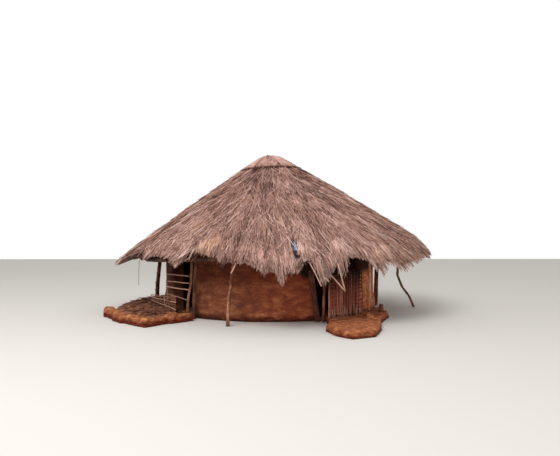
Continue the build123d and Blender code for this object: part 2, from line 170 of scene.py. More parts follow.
def weather(piece, grain, lumps):
    """Remeshes a copy at a grain, and raises lumps on it.

    Each kind of lump has a size, a height and the level of the pattern that stays in place."""
    remesh = piece.modifiers.new("grain", "REMESH")
    remesh.mode = "VOXEL"
    remesh.voxel_size = grain
    remesh.use_smooth_shade = True
    for size, height, level in lumps:
        clouds = bpy.data.textures.new(f"{piece.name}_lumps", "CLOUDS")
        clouds.noise_scale = size
        clouds.noise_depth = 2
        raised = piece.modifiers.new("lumps", "DISPLACE")
        raised.texture = clouds
        raised.texture_coords = "LOCAL"
        raised.strength = height
        raised.mid_level = level
    apply_modifiers(piece)


def paint(piece, material):
    """Gives a piece its one material."""
    piece.data.materials.clear()
    piece.data.materials.append(material)


# The roof's own frame: its axis leans a little, and is read from the ring that ties the cap
tie_points = np.array([vertex.co for vertex in nodes["cap_tie"].data.vertices])
roof_centre = (tie_points.min(axis=0) + tie_points.max(axis=0)) / 2
roof_up = np.linalg.svd(tie_points - tie_points.mean(axis=0), full_matrices=False)[2][2]
roof_up *= np.sign(roof_up[2])
roof_right = np.cross((0, 1, 0), roof_up)
roof_right /= np.linalg.norm(roof_right)
roof_back = np.cross(roof_up, roof_right)
roof_axes = np.array((roof_right, roof_back, roof_up))


def in_roof(node):
    """A node's points in the roof's frame, as angle, radius and height."""
    points = np.array([vertex.co for vertex in nodes[node].data.vertices]) - roof_centre
    x, y, height = roof_axes @ points.T
    return np.arctan2(y, x), np.hypot(x, y), height


# The slope runs through the upper rims of the two lower courses. Points this near in height
# lie on one level.
same_level = 0.002
rims = []
for node in ("eave_thatch", "lower_thatch"):
    angle, radius, height = in_roof(node)
    at_top = height > height.max() - same_level
    rims.append((radius[at_top].max(), height.max()))
(low_rim, low_height), (high_rim, high_height) = rims
slope = (high_height - low_height) / (low_rim - high_rim)
peak = low_height + low_rim * slope
slope_cosine = 1 / math.hypot(1, slope)

# The ragged edge, as a radius by angle: all the points of the eave that lie beyond its rim
beyond_rim = 0.02
angle, radius, height = in_roof("eave_thatch")
outline = radius > low_rim + beyond_rim
order = np.argsort(angle[outline])
edge_angles, edge_radii = angle[outline][order], radius[outline][order]


def edge_radius(angles):
    """How far the thatch's edge lies from the roof's axis at these angles."""
    return np.interp(angles, edge_angles, edge_radii, period=2 * math.pi)


# The front of the eave is worn most: its middle, its half width and how it fades, in degrees
front_middle, front_half, front_fade = 284, 85, 15
# A notch is as deep as this beside the furthest straw within so many degrees of it
notch_depth, notch_half, notch_steps = 0.15, 7, 15
# The edge sags at the sides, and more at the front, over this width
side_sag, more_front_sag, sagging_width, sag_past_edge = 0.025, 0.115, 0.42, 1.12


def at_front(angles):
    """1 over the worn front of the eave and 0 at its rear, by angle."""
    facing = np.abs(np.angle(np.exp(1j * (angles - math.radians(front_middle)))))
    return np.clip((math.radians(front_half) - facing) / math.radians(front_fade), 0, 1)


def worn(angles):
    """1 in the notches of the eave and 0 beside them, by angle."""
    around = angles[..., None] + np.radians(np.linspace(-notch_half, notch_half, notch_steps))
    notch = edge_radius(around).max(axis=-1) - edge_radius(angles)
    return np.clip(notch / notch_depth, 0, 1)


def sag(angles, radii):
    """How far the thatch has rounded down at its edge, most of all at the front."""
    inset = edge_radius(angles) - radii
    depth = (side_sag + more_front_sag * at_front(angles)) * (1 - 0.35 * worn(angles))
    return depth * np.clip(1 - inset / sagging_width, 0, sag_past_edge) ** 2


def on_roof(angles, radii, lifts, drops=0.0):
    """Points over the slope, lifted square to it and dropped straight down."""
    ring = np.stack((np.cos(angles), np.sin(angles), np.zeros_like(angles)), axis=-1)
    out = radii + lifts * slope * slope_cosine
    rise = peak - radii * slope + lifts * slope_cosine - drops - sag(angles, radii)
    local = ring * out[..., None]
    local[..., 2] = rise
    return roof_centre + local @ roof_axes


def sticks(name, paths, radii, sides, shades):
    """Many tapered sticks as one mesh. Each has a path and a radius at each of its points."""
    count, rings = paths.shape[:2]
    along = np.gradient(paths, axis=1)
    along /= np.linalg.norm(along, axis=2, keepdims=True)
    upright = 0.95
    steep = np.abs(along[..., 2:]) > upright
    across = np.cross(along, np.where(steep, (1.0, 0, 0), (0, 0, 1.0)))
    across /= np.linalg.norm(across, axis=2, keepdims=True)
    above = np.cross(across, along)
    turns = 2 * math.pi * np.arange(sides) / sides + math.pi / 2
    spread = (np.cos(turns)[:, None] * across[:, :, None]
              + np.sin(turns)[:, None] * above[:, :, None])
    corners = paths[:, :, None] + radii[:, :, None, None] * spread

    place = np.arange(count * rings * sides).reshape(count, rings, sides)
    following = np.roll(place, -1, axis=2)
    walls = np.stack((place[:, :-1], place[:, 1:], following[:, 1:], following[:, :-1]), axis=-1)
    walls = walls.reshape(-1, 4)
    ends = np.concatenate((place[:, 0, :], place[:, -1, ::-1])).reshape(-1, sides)
    loops = np.concatenate((walls.ravel(), ends.ravel()))
    starts = np.concatenate((np.arange(len(walls)) * 4,
                             len(walls) * 4 + np.arange(len(ends)) * sides))

    mesh = bpy.data.meshes.new(name)
    mesh.vertices.add(corners.size // 3)
    mesh.vertices.foreach_set("co", corners.astype(np.float32).ravel())
    mesh.loops.add(len(loops))
    mesh.loops.foreach_set("vertex_index", loops.astype(np.int32))
    mesh.polygons.add(len(starts))
    mesh.polygons.foreach_set("loop_start", starts.astype(np.int32))
    mesh.update(calc_edges=True)

    # Each stick lies across a strip of the map at the height of its shade
    layer = mesh.uv_layers.new(name="OFBake")
    ring = (place // sides) % rings / (rings - 1)
    strip = shades[:, None, None] * 0.97 + 0.02 * (place % sides) / sides
    spots = np.stack((ring, np.broadcast_to(strip, ring.shape)), axis=-1).reshape(-1, 2)
    layer.uv.foreach_set("vector", spots[loops].astype(np.float32).ravel())
    piece = bpy.data.objects.new(name, mesh)
    bpy.context.collection.objects.link(piece)
    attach(piece, "root")
    return piece


def set_shades(ramp, codes):
    """Sets the colours of a ramp, given from low to high as place: #rrggbb."""
    elements = ramp.color_ramp.elements
    elements.remove(elements[-1])
    first, *others = codes.items()
    elements[0].position, elements[0].color = first[0], (*linear(first[1]), 1)
    for place, code in others:
        elements.new(place).color = (*linear(code), 1)


# Weathered straw: silver-brown where sun and rain have greyed it, nearly black where painted
# shade stands for its gaps, and blond where fresh grass shows. A map gives each straw's shade
# by its height, and runs along the straw from its root to its cut end. Above silver the map
# turns to blond.
darkest, silver, blond_from = 0.02, 0.9, 0.91
straw, tree, shader = new_material("weathered grass straw", 0.75, 0.25)
strip = add(tree, "ShaderNodeUVMap", (-1000, 0), uv_map="OFBake")
split = add(tree, "ShaderNodeSeparateXYZ", (-800, 0), {0: strip.outputs[0]})
shades = add(tree, "ShaderNodeValToRGB", (-600, 100), {0: split.outputs["Y"]})
set_shades(shades, {0.0: "#3c261f", 0.2: "#785448", 0.45: "#bd9286", 0.7: "#deb9ad",
                    silver: "#f2d5c9", blond_from: "#b07d64", 0.95: "#d3aa90", 1.0: "#f6d6ba"})
joints = add(tree, "ShaderNodeMapping", (-800, -300), {0: strip.outputs[0], "Scale": (5, 40, 1)})
blotches = add(tree, "ShaderNodeTexNoise", (-600, -300),
               {"Vector": joints.outputs[0], "Scale": 1, "Detail": 3})
# Painted shade: each straw is darker towards its root, where it lies under the straws above;
# blotches along it dim it too
root_painted_shade = add(tree, "ShaderNodeMapRange", (-600, -550),
                {"Value": split.outputs["X"], "From Min": 0.0, "From Max": 0.3,
                 "To Min": 0.35, "To Max": 0.6})
dimming = add(tree, "ShaderNodeMath", (-400, -400),
              {0: blotches.outputs[0], 1: 0.8, 2: root_painted_shade.outputs[0]},
              operation="MULTIPLY_ADD")
root_shade = add(tree, "ShaderNodeMix", (-250, 0),
                 {"Factor": 1.0, "A": shades.outputs[0], "B": dimming.outputs[0]},
                 data_type="RGBA", blend_type="MULTIPLY")
tree.links.new(root_shade.outputs["Result"], shader.inputs["Base Color"])

angle, radius, height = in_roof("blue_strip")
strip_turn = (angle.min() + angle.max()) / 2
strip_out = (radius.min() + radius.max()) / 2

hollow_half, hollow_below, hollow_above, hollow_depth = 0.075, 0.27, 0.13, 0.09

# Real stalks are about 3 mm thick. They are drawn 13 mm thick, as coarse as they need to be
# to show, and so few enough for one roof.
straw_radius = 0.0065
straw_sides = 3
chance = np.random.default_rng(11)
patch_starts = chance.uniform(0, 2 * math.pi, 12)
patch_waves = ((5, 1.9), (11, -3.6), (23, 2.1), (41, -1.8))


def patch_shade(angles, radii):
    """Broad lighter and darker patches of the roof, from waves round it and down it."""
    waves = sum(np.sin(around * angles + down * radii + start)
                for (around, down), start in zip(patch_waves, patch_starts))
    return waves / len(patch_waves)


def over_strip(angles, radii):
    """Whether a straw between two radii crosses the blue strip or the hollow it lies in."""
    middle = (angles[..., 0] + angles[..., -1]) / 2
    aside = np.abs(np.angle(np.exp(1j * (middle - strip_turn)))) * strip_out
    crosses = ((radii[..., 0] < strip_out + hollow_below)
               & (radii[..., -1] > strip_out - hollow_above))
    return (aside < hollow_half) & crosses


handful_straws = 14
shaded_share, stray_share = 0.16, 0.07


def lay_straw(name, high, low, handfuls, length):
    """Handfuls of straw with their roots between two radii, each straw a straight stalk."""
    each = handful_straws
    # Where each handful lies, how it is turned and raised, and how pale it is
    angles = chance.uniform(0, 2 * math.pi, handfuls)[:, None]
    roots = np.sqrt(chance.uniform(high ** 2, low ** 2, handfuls))[:, None]
    heading = chance.normal(0, 0.13, handfuls)[:, None]
    rise = chance.uniform(0, 0.045, handfuls)[:, None]
    shaded = chance.random((handfuls, 1)) < shaded_share
    tone = 0.5 + 0.05 * (roots - 2.4) + 0.15 * patch_shade(angles, roots)
    # Painted shade darkens the roof's flanks, at its left and right, against its front and rear
    tone = tone - 0.2 * np.cos(angles) ** 2 + chance.normal(0, 0.10, (handfuls, 1))
    # Shaded handfuls lie lower and are painted darker, as the shade in the gaps between handfuls
    tone = tone - 0.22 * shaded
    rise = rise * (1 - 0.7 * shaded)

    # Each straw's root and cut end, which stops at the roof's ragged edge
    spread = chance.normal(0, 0.03, (handfuls, each))
    start = roots + chance.normal(0, 0.06, (handfuls, each))
    reach = length * chance.uniform(0.5, 1.15, (handfuls, each)) * slope_cosine
    stray = chance.random((handfuls, each)) < stray_share
    fan = heading + spread * 0.8 + chance.normal(0, 0.07, (handfuls, each))
    fan = fan + stray * chance.normal(0, 0.4, (handfuls, each))
    tip = start + reach
    edge = edge_radius(angles + (spread + fan * reach) / tip)
    tip = np.minimum(tip, edge + chance.normal(0.0, 0.03, tip.shape))
    lifts = rise + chance.normal(0, 0.010, (handfuls, each)) + stray * 0.025
    share = np.array((0, 1.0))
    radii = start[..., None] + (tip - start)[..., None] * share
    sideways = spread[..., None] + fan[..., None] * (tip - start)[..., None] * share
    turned = angles[..., None] + sideways / radii
    lifts = lifts - hollow_depth * over_strip(turned, radii)
    root_tucked, end_raised = -0.035, 0.012
    lifted = lifts[..., None] + np.array((root_tucked, end_raised))
    paths = on_roof(turned, radii, lifted).reshape(-1, 2, 3)

    # Its thickness and shade, with fresh blond grass among the strays, and more blond straws
    # at the right as painted sunlight
    thick = straw_radius * chance.uniform(0.6, 1.4, handfuls * each)
    widths = thick[:, None] * np.array((1.0, 0.7))
    shade = tone + chance.normal(0, 0.13, (handfuls, each)) + stray * 0.22
    shade = np.clip(shade, darkest, silver)
    painted_sunlit_right = (angles > math.radians(300)) & (angles < math.radians(345)) & (roots > 2.6)
    golden = (stray | painted_sunlit_right) & (chance.random((handfuls, each)) < np.where(stray, 0.3, 0.2))
    shade = np.where(golden, chance.uniform(0.93, 0.98, (handfuls, each)), shade)
    piece = sticks(name, paths, widths, straw_sides, shade.ravel())
    paint(piece, straw)
    return piece


bed = copy_of("thatch_bed", "eave_thatch", "lower_thatch", "upper_thatch")
weather(bed, 0.08, ((0.35, 0.05, 1.0), (0.09, 0.02, 0.5)))

# The bed thins towards its ragged edge, where few layers of grass are left, and its rim is
# rounded down like the straw over it
edge_taper, full_depth = 0.45, 0.22
places = np.array([vertex.co for vertex in bed.data.vertices])
x, y, rise = roof_axes @ (places - roof_centre).T
turned, radii = np.arctan2(y, x), np.hypot(x, y)
inset = np.clip(edge_radius(turned) - radii, 0, None)
edge_thin = 0.045 + 0.175 * at_front(turned) * (1 - 0.75 * worn(turned))
deepest = edge_thin + inset * (full_depth - edge_thin) / edge_taper
under = peak - slope * radii - rise
settled = np.where(inset < edge_taper, np.minimum(under, deepest), under)
settled += sag(turned, radii) * np.clip(1 - settled / full_depth, 0, 1)
places -= (settled - under)[:, None] * roof_up
bed.data.vertices.foreach_set("co", places.astype(np.float32).ravel())

# Old grass packed close: matt and brown, in dark and pale clumps instead of single stems
clump = 0.05
packed, tree, shader = new_material("packed old grass", 0.9)
place = add(tree, "ShaderNodeTexCoord", (-1000, 0))
stems = add(tree, "ShaderNodeTexNoise", (-700, 0),
            {"Vector": place.outputs["Object"], "Scale": 1 / clump, "Detail": 6,
             "Roughness": 0.7})
stem_shades = add(tree, "ShaderNodeValToRGB", (-450, 0), {0: stems.outputs[0]})
set_shades(stem_shades, {0.35: "#45302a", 0.7: "#a58578"})
tree.links.new(stem_shades.outputs[0], shader.inputs["Base Color"])
stem_bump = add(tree, "ShaderNodeBump", (-250, -300),
                {"Height": stems.outputs[0], "Distance": 0.02, "Strength": 0.8})
tree.links.new(stem_bump.outputs[0], shader.inputs["Normal"])
paint(bed, packed)

lay_straw("crown_straw", 0.52, 1.15, 470, 0.5)
lay_straw("upper_straw", 0.95, 1.75, 1000, 0.6)
lay_straw("middle_straw", 1.6, 2.5, 1450, 0.65)
lay_straw("lower_straw", 2.3, 3.2, 1640, 0.7)

# Eave fringe
# Handfuls of the same grass, tied in at the edge, that lie over it and hang down before it,
# each drawn to a point. They hang most at the front, and lie nearly straight elsewhere.
fringe_count, fringe_each = 900, 13
fringe_layers = 4
angles = chance.uniform(0, 2 * math.pi, fringe_count)[:, None]
layer = np.floor(fringe_layers * chance.uniform(0, 1, fringe_count)[:, None] ** 2)
layer = layer / (fringe_layers - 1)
spread = chance.normal(0, 0.030, (fringe_count, fringe_each))
front = at_front(angles)
heading = chance.normal(0, 0.12, fringe_count)[:, None] + chance.normal(0, 0.05, spread.shape)
eave_radius = 3.5
edge = edge_radius(angles + spread / eave_radius)
notched = worn(angles)
hang = chance.uniform(-0.05, 0.05 + 0.05 * front, (fringe_count, 1)) * (1 - 0.7 * notched)
past = hang * 0.6 - np.abs(spread) * 0.8 + chance.normal(0, 0.012, spread.shape)
depth = layer * (0.04 + 0.04 * front) * (1 - 0.6 * notched)
droop = (0.01 + 0.07 * front) * (1 - layer * 0.5) * chance.uniform(0.7, 1.3, (fringe_count, 1))
droop = droop * (1 - 0.8 * notched)
droop = droop + front * (hang * 0.8 - np.abs(spread) * 1.2)
droop = droop + chance.normal(0, 0.015, spread.shape)
share = np.array((0, 0.62, 1.0))
start = edge - sagging_width - chance.uniform(0, 0.3, spread.shape)
tip = edge + np.clip(past, -0.08, 0.08)
tip_angles = angles + (spread * 0.4 + heading * (tip - start)) / tip
tip = np.minimum(tip, edge_radius(tip_angles) + 0.03)
radii = start[..., None] + (tip - start)[..., None] * share
drawn = spread[..., None] * (1 - 0.6 * share ** 2)
turned = angles[..., None] + (drawn + heading[..., None] * (radii - start[..., None])) / radii
lifts = (0.03 - depth)[..., None] - 0.03 * (1 - share)
lifts = lifts - hollow_depth * over_strip(turned, radii)[..., None]
drops = np.clip(droop, 0, None)[..., None] * share ** 3
paths = on_roof(turned, radii, lifts, drops).reshape(-1, 3, 3)
thick = straw_radius * chance.uniform(0.7, 1.4, fringe_count * fringe_each)
tone = 0.56 + 0.12 * patch_shade(angles, eave_radius)
# Painted shade: the deeper a handful's layer lies under the others, the darker it is
tone = tone + chance.normal(0, 0.17, (fringe_count, 1)) - layer * 0.08
shade = np.clip(tone + chance.normal(0, 0.11, spread.shape), darkest, silver)

# Blond straws and a lighter shade at the right, as painted sunlight where the sun comes,
# and fresher, blond grass where the eave has been patched beside its two notches, between
# these angles and in this shade
painted_sunlit_right = (angles > math.radians(300)) & (angles < math.radians(350))
golden = painted_sunlit_right & (chance.random(spread.shape) < 0.24)
shade = np.where(golden, chance.uniform(blond_from, 0.96, spread.shape), shade + 0.08 * painted_sunlit_right)
for first, last, blond in ((245, 251, 0.97), (277, 280, 0.925)):
    patched = (angles > math.radians(first)) & (angles < math.radians(last))
    blond_shade = np.clip(blond + chance.normal(0, 0.02, spread.shape), blond_from, 1)
    shade = np.where(patched, blond_shade, shade)
fringe = sticks("eave_straw", paths, thick[:, None] * np.array((1.0, 1.0, 0.5)),
                straw_sides, shade.ravel())
paint(fringe, straw)

# Tufts in the notches. Each has its angle in degrees, the radii of its roots and ends, its
# width, how far it hangs, and its shade.
tufts_at = ((245.5, 2.85, 3.16, 0.07, 0.06, 0.97),
            (248.5, 2.85, 3.20, 0.07, 0.08, 0.97),
            (278.6, 3.24, 3.46, 0.05, 0.04, 0.925),
            (289.8, 3.10, 3.52, 0.03, 0.26, 0.70))
tuft_each = 90
tuft_paths, tuft_shades = [], []
for angle, high, low, width, hang, blond in tufts_at:
    spread = chance.normal(0, width, tuft_each)
    start = high + chance.normal(0, 0.05, tuft_each)
    tip = low + chance.normal(0, 0.02, tuft_each) - np.abs(spread) * 0.3
    share = np.array((0, 0.5, 0.8, 1.0))
    radii = start[:, None] + (tip - start)[:, None] * share
    heading = chance.normal(0, 0.12, tuft_each)
    aside = spread[:, None] + heading[:, None] * (radii - start[:, None])
    turned = math.radians(angle) + aside / radii
    lifts = chance.uniform(0.03, 0.09, tuft_each)[:, None] * np.array((-0.5, 1, 0.8, 0.4))
    drops = hang * chance.uniform(0.3, 1.3, tuft_each)[:, None] * share ** 3
    tuft_paths.append(on_roof(turned, radii, lifts, drops))
    stray, lowest, highest = (0.02, blond_from, 1) if blond > silver else (0.1, 0.1, silver)
    tuft_shades.append(np.clip(blond + chance.normal(0, stray, tuft_each), lowest, highest))
tufts = sticks("blond_tufts", np.concatenate(tuft_paths),
               np.full((tuft_each * len(tuft_paths), len(share)), straw_radius), straw_sides,
               np.concatenate(tuft_shades))
paint(tufts, straw)

# Blue strip
# A narrow piece torn from a plastic sheet, folded and tucked into a hollow between the
# straws. Sun has faded it unevenly, and its scuffs take off most of its shine.
scuff = 0.05
blue, tree, shader = new_material("faded blue plastic", 0.45)
place = add(tree, "ShaderNodeTexCoord", (-900, 0))
scuffs = add(tree, "ShaderNodeTexNoise", (-700, 0),
             {"Vector": place.outputs["Object"], "Scale": 1 / scuff, "Detail": 4})
blue_shades = add(tree, "ShaderNodeValToRGB", (-450, 0), {0: scuffs.outputs[0]})
set_shades(blue_shades, {0.3: "#2f5f93", 0.7: "#6b9ccb"})
tree.links.new(blue_shades.outputs[0], shader.inputs["Base Color"])

# Black straws in the hollow, below the strip's lower end, as painted shade
hollow_count = 16
hollow_turns = strip_turn + chance.uniform(-0.05, 0.05, (hollow_count, 1)) / strip_out
hollow_radii = strip_out + chance.uniform(0.11, 0.14, (hollow_count, 1)) + np.array((0, 0.10))
hollow = sticks("hollow_shade_straw", on_roof(hollow_turns, hollow_radii, 0.02),
                np.full((hollow_count, 2), straw_radius * 1.3), straw_sides,
                np.zeros(hollow_count))
paint(hollow, straw)

strip_piece = copy_of("blue_strip_sheet", "blue_strip")
weather(strip_piece, 0.006, ((0.05, 0.008, 0.3),))
paint(strip_piece, blue)

# Cap and its tie
# A bundle of the same grass turned over the crown, with its ends drawn in under one turn of
# rope. The rope is laid of three strands of dark bark.
cap = copy_of("cap_bed", "cap_thatch")
weather(cap, 0.04, ((0.2, 0.04, 1.0),))
paint(cap, packed)
angle, radius, height = in_roof("cap_thatch")
levels = np.unique(height.round(3))
rims = [radius[np.abs(height - level) < same_level].max() for level in levels]
cap_foot = rims[0]

cap_count, cap_each = 270, 12
golden_turn = math.pi * (3 - math.sqrt(5))
angles = (golden_turn * np.arange(cap_count) + chance.uniform(0, 0.1, cap_count))[:, None]
spread = chance.normal(0, 0.012, (cap_count, cap_each))
start = cap_foot * chance.uniform(0.0, 0.8, cap_count)[:, None]
start = np.clip(start + chance.normal(0, 0.02, spread.shape), 0.01, None)
tip = np.minimum(start + chance.uniform(0.2, 0.42, spread.shape),
                 cap_foot + chance.normal(0.012, 0.015, spread.shape))
share = np.array((0, 0.5, 1.0))
radii = start[..., None] + (tip - start)[..., None] * share
heading = chance.normal(0, 0.08, (cap_count, 1)) + chance.normal(0, 0.07, spread.shape)
aside = spread[..., None] + heading[..., None] * (radii - start[..., None])
turned = angles[..., None] + aside / (radii + 0.05)
lifts = chance.uniform(0.0, 0.02, (cap_count, 1)) + chance.normal(0, 0.004, spread.shape)
lifts = lifts[..., None] + np.array((-0.02, 0.006, 0.008))
ring = np.stack((np.cos(turned), np.sin(turned), np.zeros_like(turned)), axis=-1)
local = ring * radii[..., None]
local[..., 2] = np.interp(radii, rims[::-1], levels[::-1]) + lifts
paths = (roof_centre + local @ roof_axes).reshape(-1, 3, 3)
thick = straw_radius * chance.uniform(0.9, 1.6, cap_count * cap_each)
shade = 0.53 + chance.normal(0, 0.06, (cap_count, 1)) + chance.normal(0, 0.09, spread.shape)
cap_straw = sticks("cap_straw", paths, thick[:, None] * np.array((0.9, 1.0, 0.7)),
                   straw_sides, np.clip(shade, darkest, silver).ravel())
paint(cap_straw, straw)

strands, strand_radius, strand_sides = 3, 0.016, 5
rope_twists, rope_rings = 60, 400
rope_gap, rope_half_height = 0.03, 0.018
lap = np.linspace(0, 2 * math.pi, rope_rings)
twist = lap * rope_twists + (np.arange(strands) * 2 * math.pi / strands)[:, None]
out = cap_foot + rope_gap + strand_radius * np.cos(twist)
ring = np.stack((np.cos(lap) * out, np.sin(lap) * out, rope_half_height * np.sin(twist)),
                axis=-1)
rope = sticks("cap_rope", roof_centre + ring @ roof_axes,
              np.full((strands, rope_rings), strand_radius), strand_sides,
              np.array((0.3, 0.5, 0.7)))
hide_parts("cap_tie")

# Twisted bark: matt and nearly black, with brown fibres. They are drawn 20 mm apart in place
# of about 1 mm, as coarse as they need to be to show.
fibre_gap = 0.02
bark_rope, tree, shader = new_material("twisted bark rope", 0.85)
place = add(tree, "ShaderNodeTexCoord", (-900, 0))
fibres = add(tree, "ShaderNodeTexNoise", (-700, 0),
             {"Vector": place.outputs["Object"], "Scale": 1 / fibre_gap, "Detail": 4})
rope_shades = add(tree, "ShaderNodeValToRGB", (-450, 0), {0: fibres.outputs[0]})
set_shades(rope_shades, {0: "#240d09", 1: "#5c2d22"})
tree.links.new(rope_shades.outputs[0], shader.inputs["Base Color"])
paint(rope, bark_rope)


# Earth walls
# Mud laid up wet by hand in low lifts and smoothed with the palm, on a bellied foot. Rain
# splash has washed and pitted the foot. The left is cooler in tone, and painted darker as shade.
def mud(name, dark, body, light, patch, grit, bands, deep_shade=None):
    """Sun-dried mud with patches and grit of these sizes. Its bands are ranges of an axis.

    Each band is an axis, the two places between which it comes in, how far these stray, and
    the colour that it brings. Deep shade is a place and two distances from it: the mud is painted
    nearly black as shade within the first and not beyond the second. The patches lie flat, as the
    lifts do in which the mud is laid up."""
    lying_flat, deep_shade_black = 2.1, "#2a1814"
    material, tree, shader = new_material(name, 0.93, 0.2)
    place = add(tree, "ShaderNodeTexCoord", (-1600, 0)).outputs["Object"]
    axes = add(tree, "ShaderNodeSeparateXYZ", (-1400, -300), {0: place})
    lifts = add(tree, "ShaderNodeMapping", (-1400, 200),
                {"Vector": place, "Scale": (1, 1, lying_flat)})
    patches = add(tree, "ShaderNodeTexNoise", (-1200, 200),
                  {"Vector": lifts.outputs[0], "Scale": 1 / patch, "Detail": 7,
                   "Roughness": 0.6, "Distortion": 0.3})
    grain = add(tree, "ShaderNodeTexNoise", (-1200, -100),
                {"Vector": place, "Scale": 1 / grit, "Detail": 5, "Roughness": 0.7})
    mixed = add(tree, "ShaderNodeMath", (-1000, 100),
                {0: grain.outputs[0], 1: 0.45, 2: patches.outputs[0]}, operation="MULTIPLY_ADD")
    shades = add(tree, "ShaderNodeValToRGB", (-800, 100), {0: mixed.outputs[0]})
    set_shades(shades, {0.53: dark, 0.72: body, 0.92: light})
    colour = shades.outputs[0]
    for number, (axis, first, last, stray, code) in enumerate(bands):
        moved = add(tree, "ShaderNodeMath", (-900, -500 - 250 * number),
                    {0: patches.outputs[0], 1: stray * 4, 2: axes.outputs[axis]},
                    operation="MULTIPLY_ADD")
        share = add(tree, "ShaderNodeMapRange", (-700, -500 - 250 * number),
                    {"Value": moved.outputs[0], "From Min": first + stray * 2,
                     "From Max": last + stray * 2, "To Min": 0.0, "To Max": 1.0})
        blend = add(tree, "ShaderNodeMix", (-500, -500 - 250 * number),
                    {"Factor": share.outputs[0], "A": colour, "B": (*linear(code), 1)},
                    data_type="RGBA", blend_type="MULTIPLY")
        colour = blend.outputs["Result"]
    # Painted deep shade: nearly black near its place, fading out further away
    if deep_shade:
        centre, near, far = deep_shade
        away = add(tree, "ShaderNodeVectorMath", (-900, 450), {0: place, 1: centre},
                   operation="DISTANCE")
        share = add(tree, "ShaderNodeMapRange", (-700, 450),
                    {"Value": away.outputs["Value"], "From Min": near, "From Max": far,
                     "To Min": 1.0, "To Max": 0.0})
        blend = add(tree, "ShaderNodeMix", (-300, 300),
                    {"Factor": share.outputs[0], "A": colour, "B": (*linear(deep_shade_black), 1)},
                    data_type="RGBA")
        colour = blend.outputs["Result"]
    tree.links.new(colour, shader.inputs["Base Color"])
    bump = add(tree, "ShaderNodeBump", (-500, -200),
               {"Height": mixed.outputs[0], "Distance": 0.02, "Strength": 0.8})
    tree.links.new(bump.outputs[0], shader.inputs["Normal"])
    return material


# Red-brown and matt, rubbed paler in patches. It turns cooler to the left, and painted shade
# makes it darker there and under the eave. It is greyer at the foot, and painted deep shade
# blackens it beside the right doorway.
wall_mud = mud("sun-dried mud plaster", "#7f4330", "#a75539", "#ca7c54", 0.2, 0.03,
               [("X", 0.5, -0.8, 0.1, "#bccbce"), ("Z", 0.62, 0.9, 0.05, "#ceb8b0"),
                ("X", -1.55, -1.85, 0.03, "#c6d0dc"), ("Z", 0.16, 0.03, 0.06, "#9a8678")],
               ((0.70, -2.27, 1.03), 0.14, 0.23))
# The same mud, painted lighter and more orange as sunlight falls on it, and black at its top
# as painted shadow under the eave
pale_mud = mud("mud plaster painted sunlit", "#824831", "#c8764c", "#eba472", 0.15, 0.03,
               [("Y", -1.0, 0.3, 0.1, "#e6c8d1"), ("Z", 0.2, 0.05, 0.06, "#c0a898"),
                ("Z", 0.86, 1.0, 0.05, "#4a3a34")])
walls = {"front_mud": (["front_wall"], 0.035, wall_mud),
         "right_mud": (["right_wall"], 0.04, pale_mud),
         "round_mud": (["rear_right_wall", "rear_wall", "left_wall"], 0.05, wall_mud)}
for name, (sources, grain, earth) in walls.items():
    wall = copy_of(name, *sources)
    weather(wall, grain, ((0.4, 0.03, 0.5), (0.1, 0.012, 0.5)))
    paint(wall, earth)

# Trodden earth
# The floor, the bank with its kerb and the step with its clods are of the same mud,
# rammed and polished by feet, and crumbling at the edges where rain runs off them. The
# bank is dark with litter and damp, and the kerb and the clods are painted darker down their
# faces than on their tops, as shade.
trodden = mud("trodden dusty earth", "#5d382a", "#8a5640", "#b07a58", 0.25, 0.02, [])
bank_mud = mud("littered trodden earth", "#1f110c", "#70402c", "#c58662", 0.12, 0.012, [])
step_mud = mud("packed red earth", "#6a3620", "#a05a38", "#cf8e62", 0.12, 0.02,
               [("Z", 0.1, 0.02, 0.02, "#8f6656")])
# Painted shade: the blocks and clods darken down their faces, below their tops
kerb_mud = mud("crumbling mud blocks", "#6b371f", "#995b39", "#cc8e60", 0.12, 0.015,
               [("Z", 0.14, 0.06, 0.02, "#a0685c")])
earthworks = {
    "bank_earth": ("left_bank", 0.04, bank_mud, ((0.3, 0.03, 0.6), (0.06, 0.02, 0.5))),
    "kerb_earth": ("left_kerb", 0.021, kerb_mud, ((0.12, 0.045, 0.6), (0.04, 0.01, 0.5))),
    "step_earth": ("right_step", 0.028, step_mud, ((0.25, 0.03, 0.6), (0.06, 0.02, 0.5))),
    "clod_earth": ("step_clods", 0.014, kerb_mud, ((0.06, 0.02, 0.5),)),
}
for name, (source, grain, earth, lumps) in earthworks.items():
    piece = copy_of(name, source)
    weather(piece, grain, lumps)
    paint(piece, earth)
for node in ("earth_floor", "left_threshold", "right_threshold"):
    nodes[node].data.materials.clear()
    nodes[node].data.materials.append(trodden)


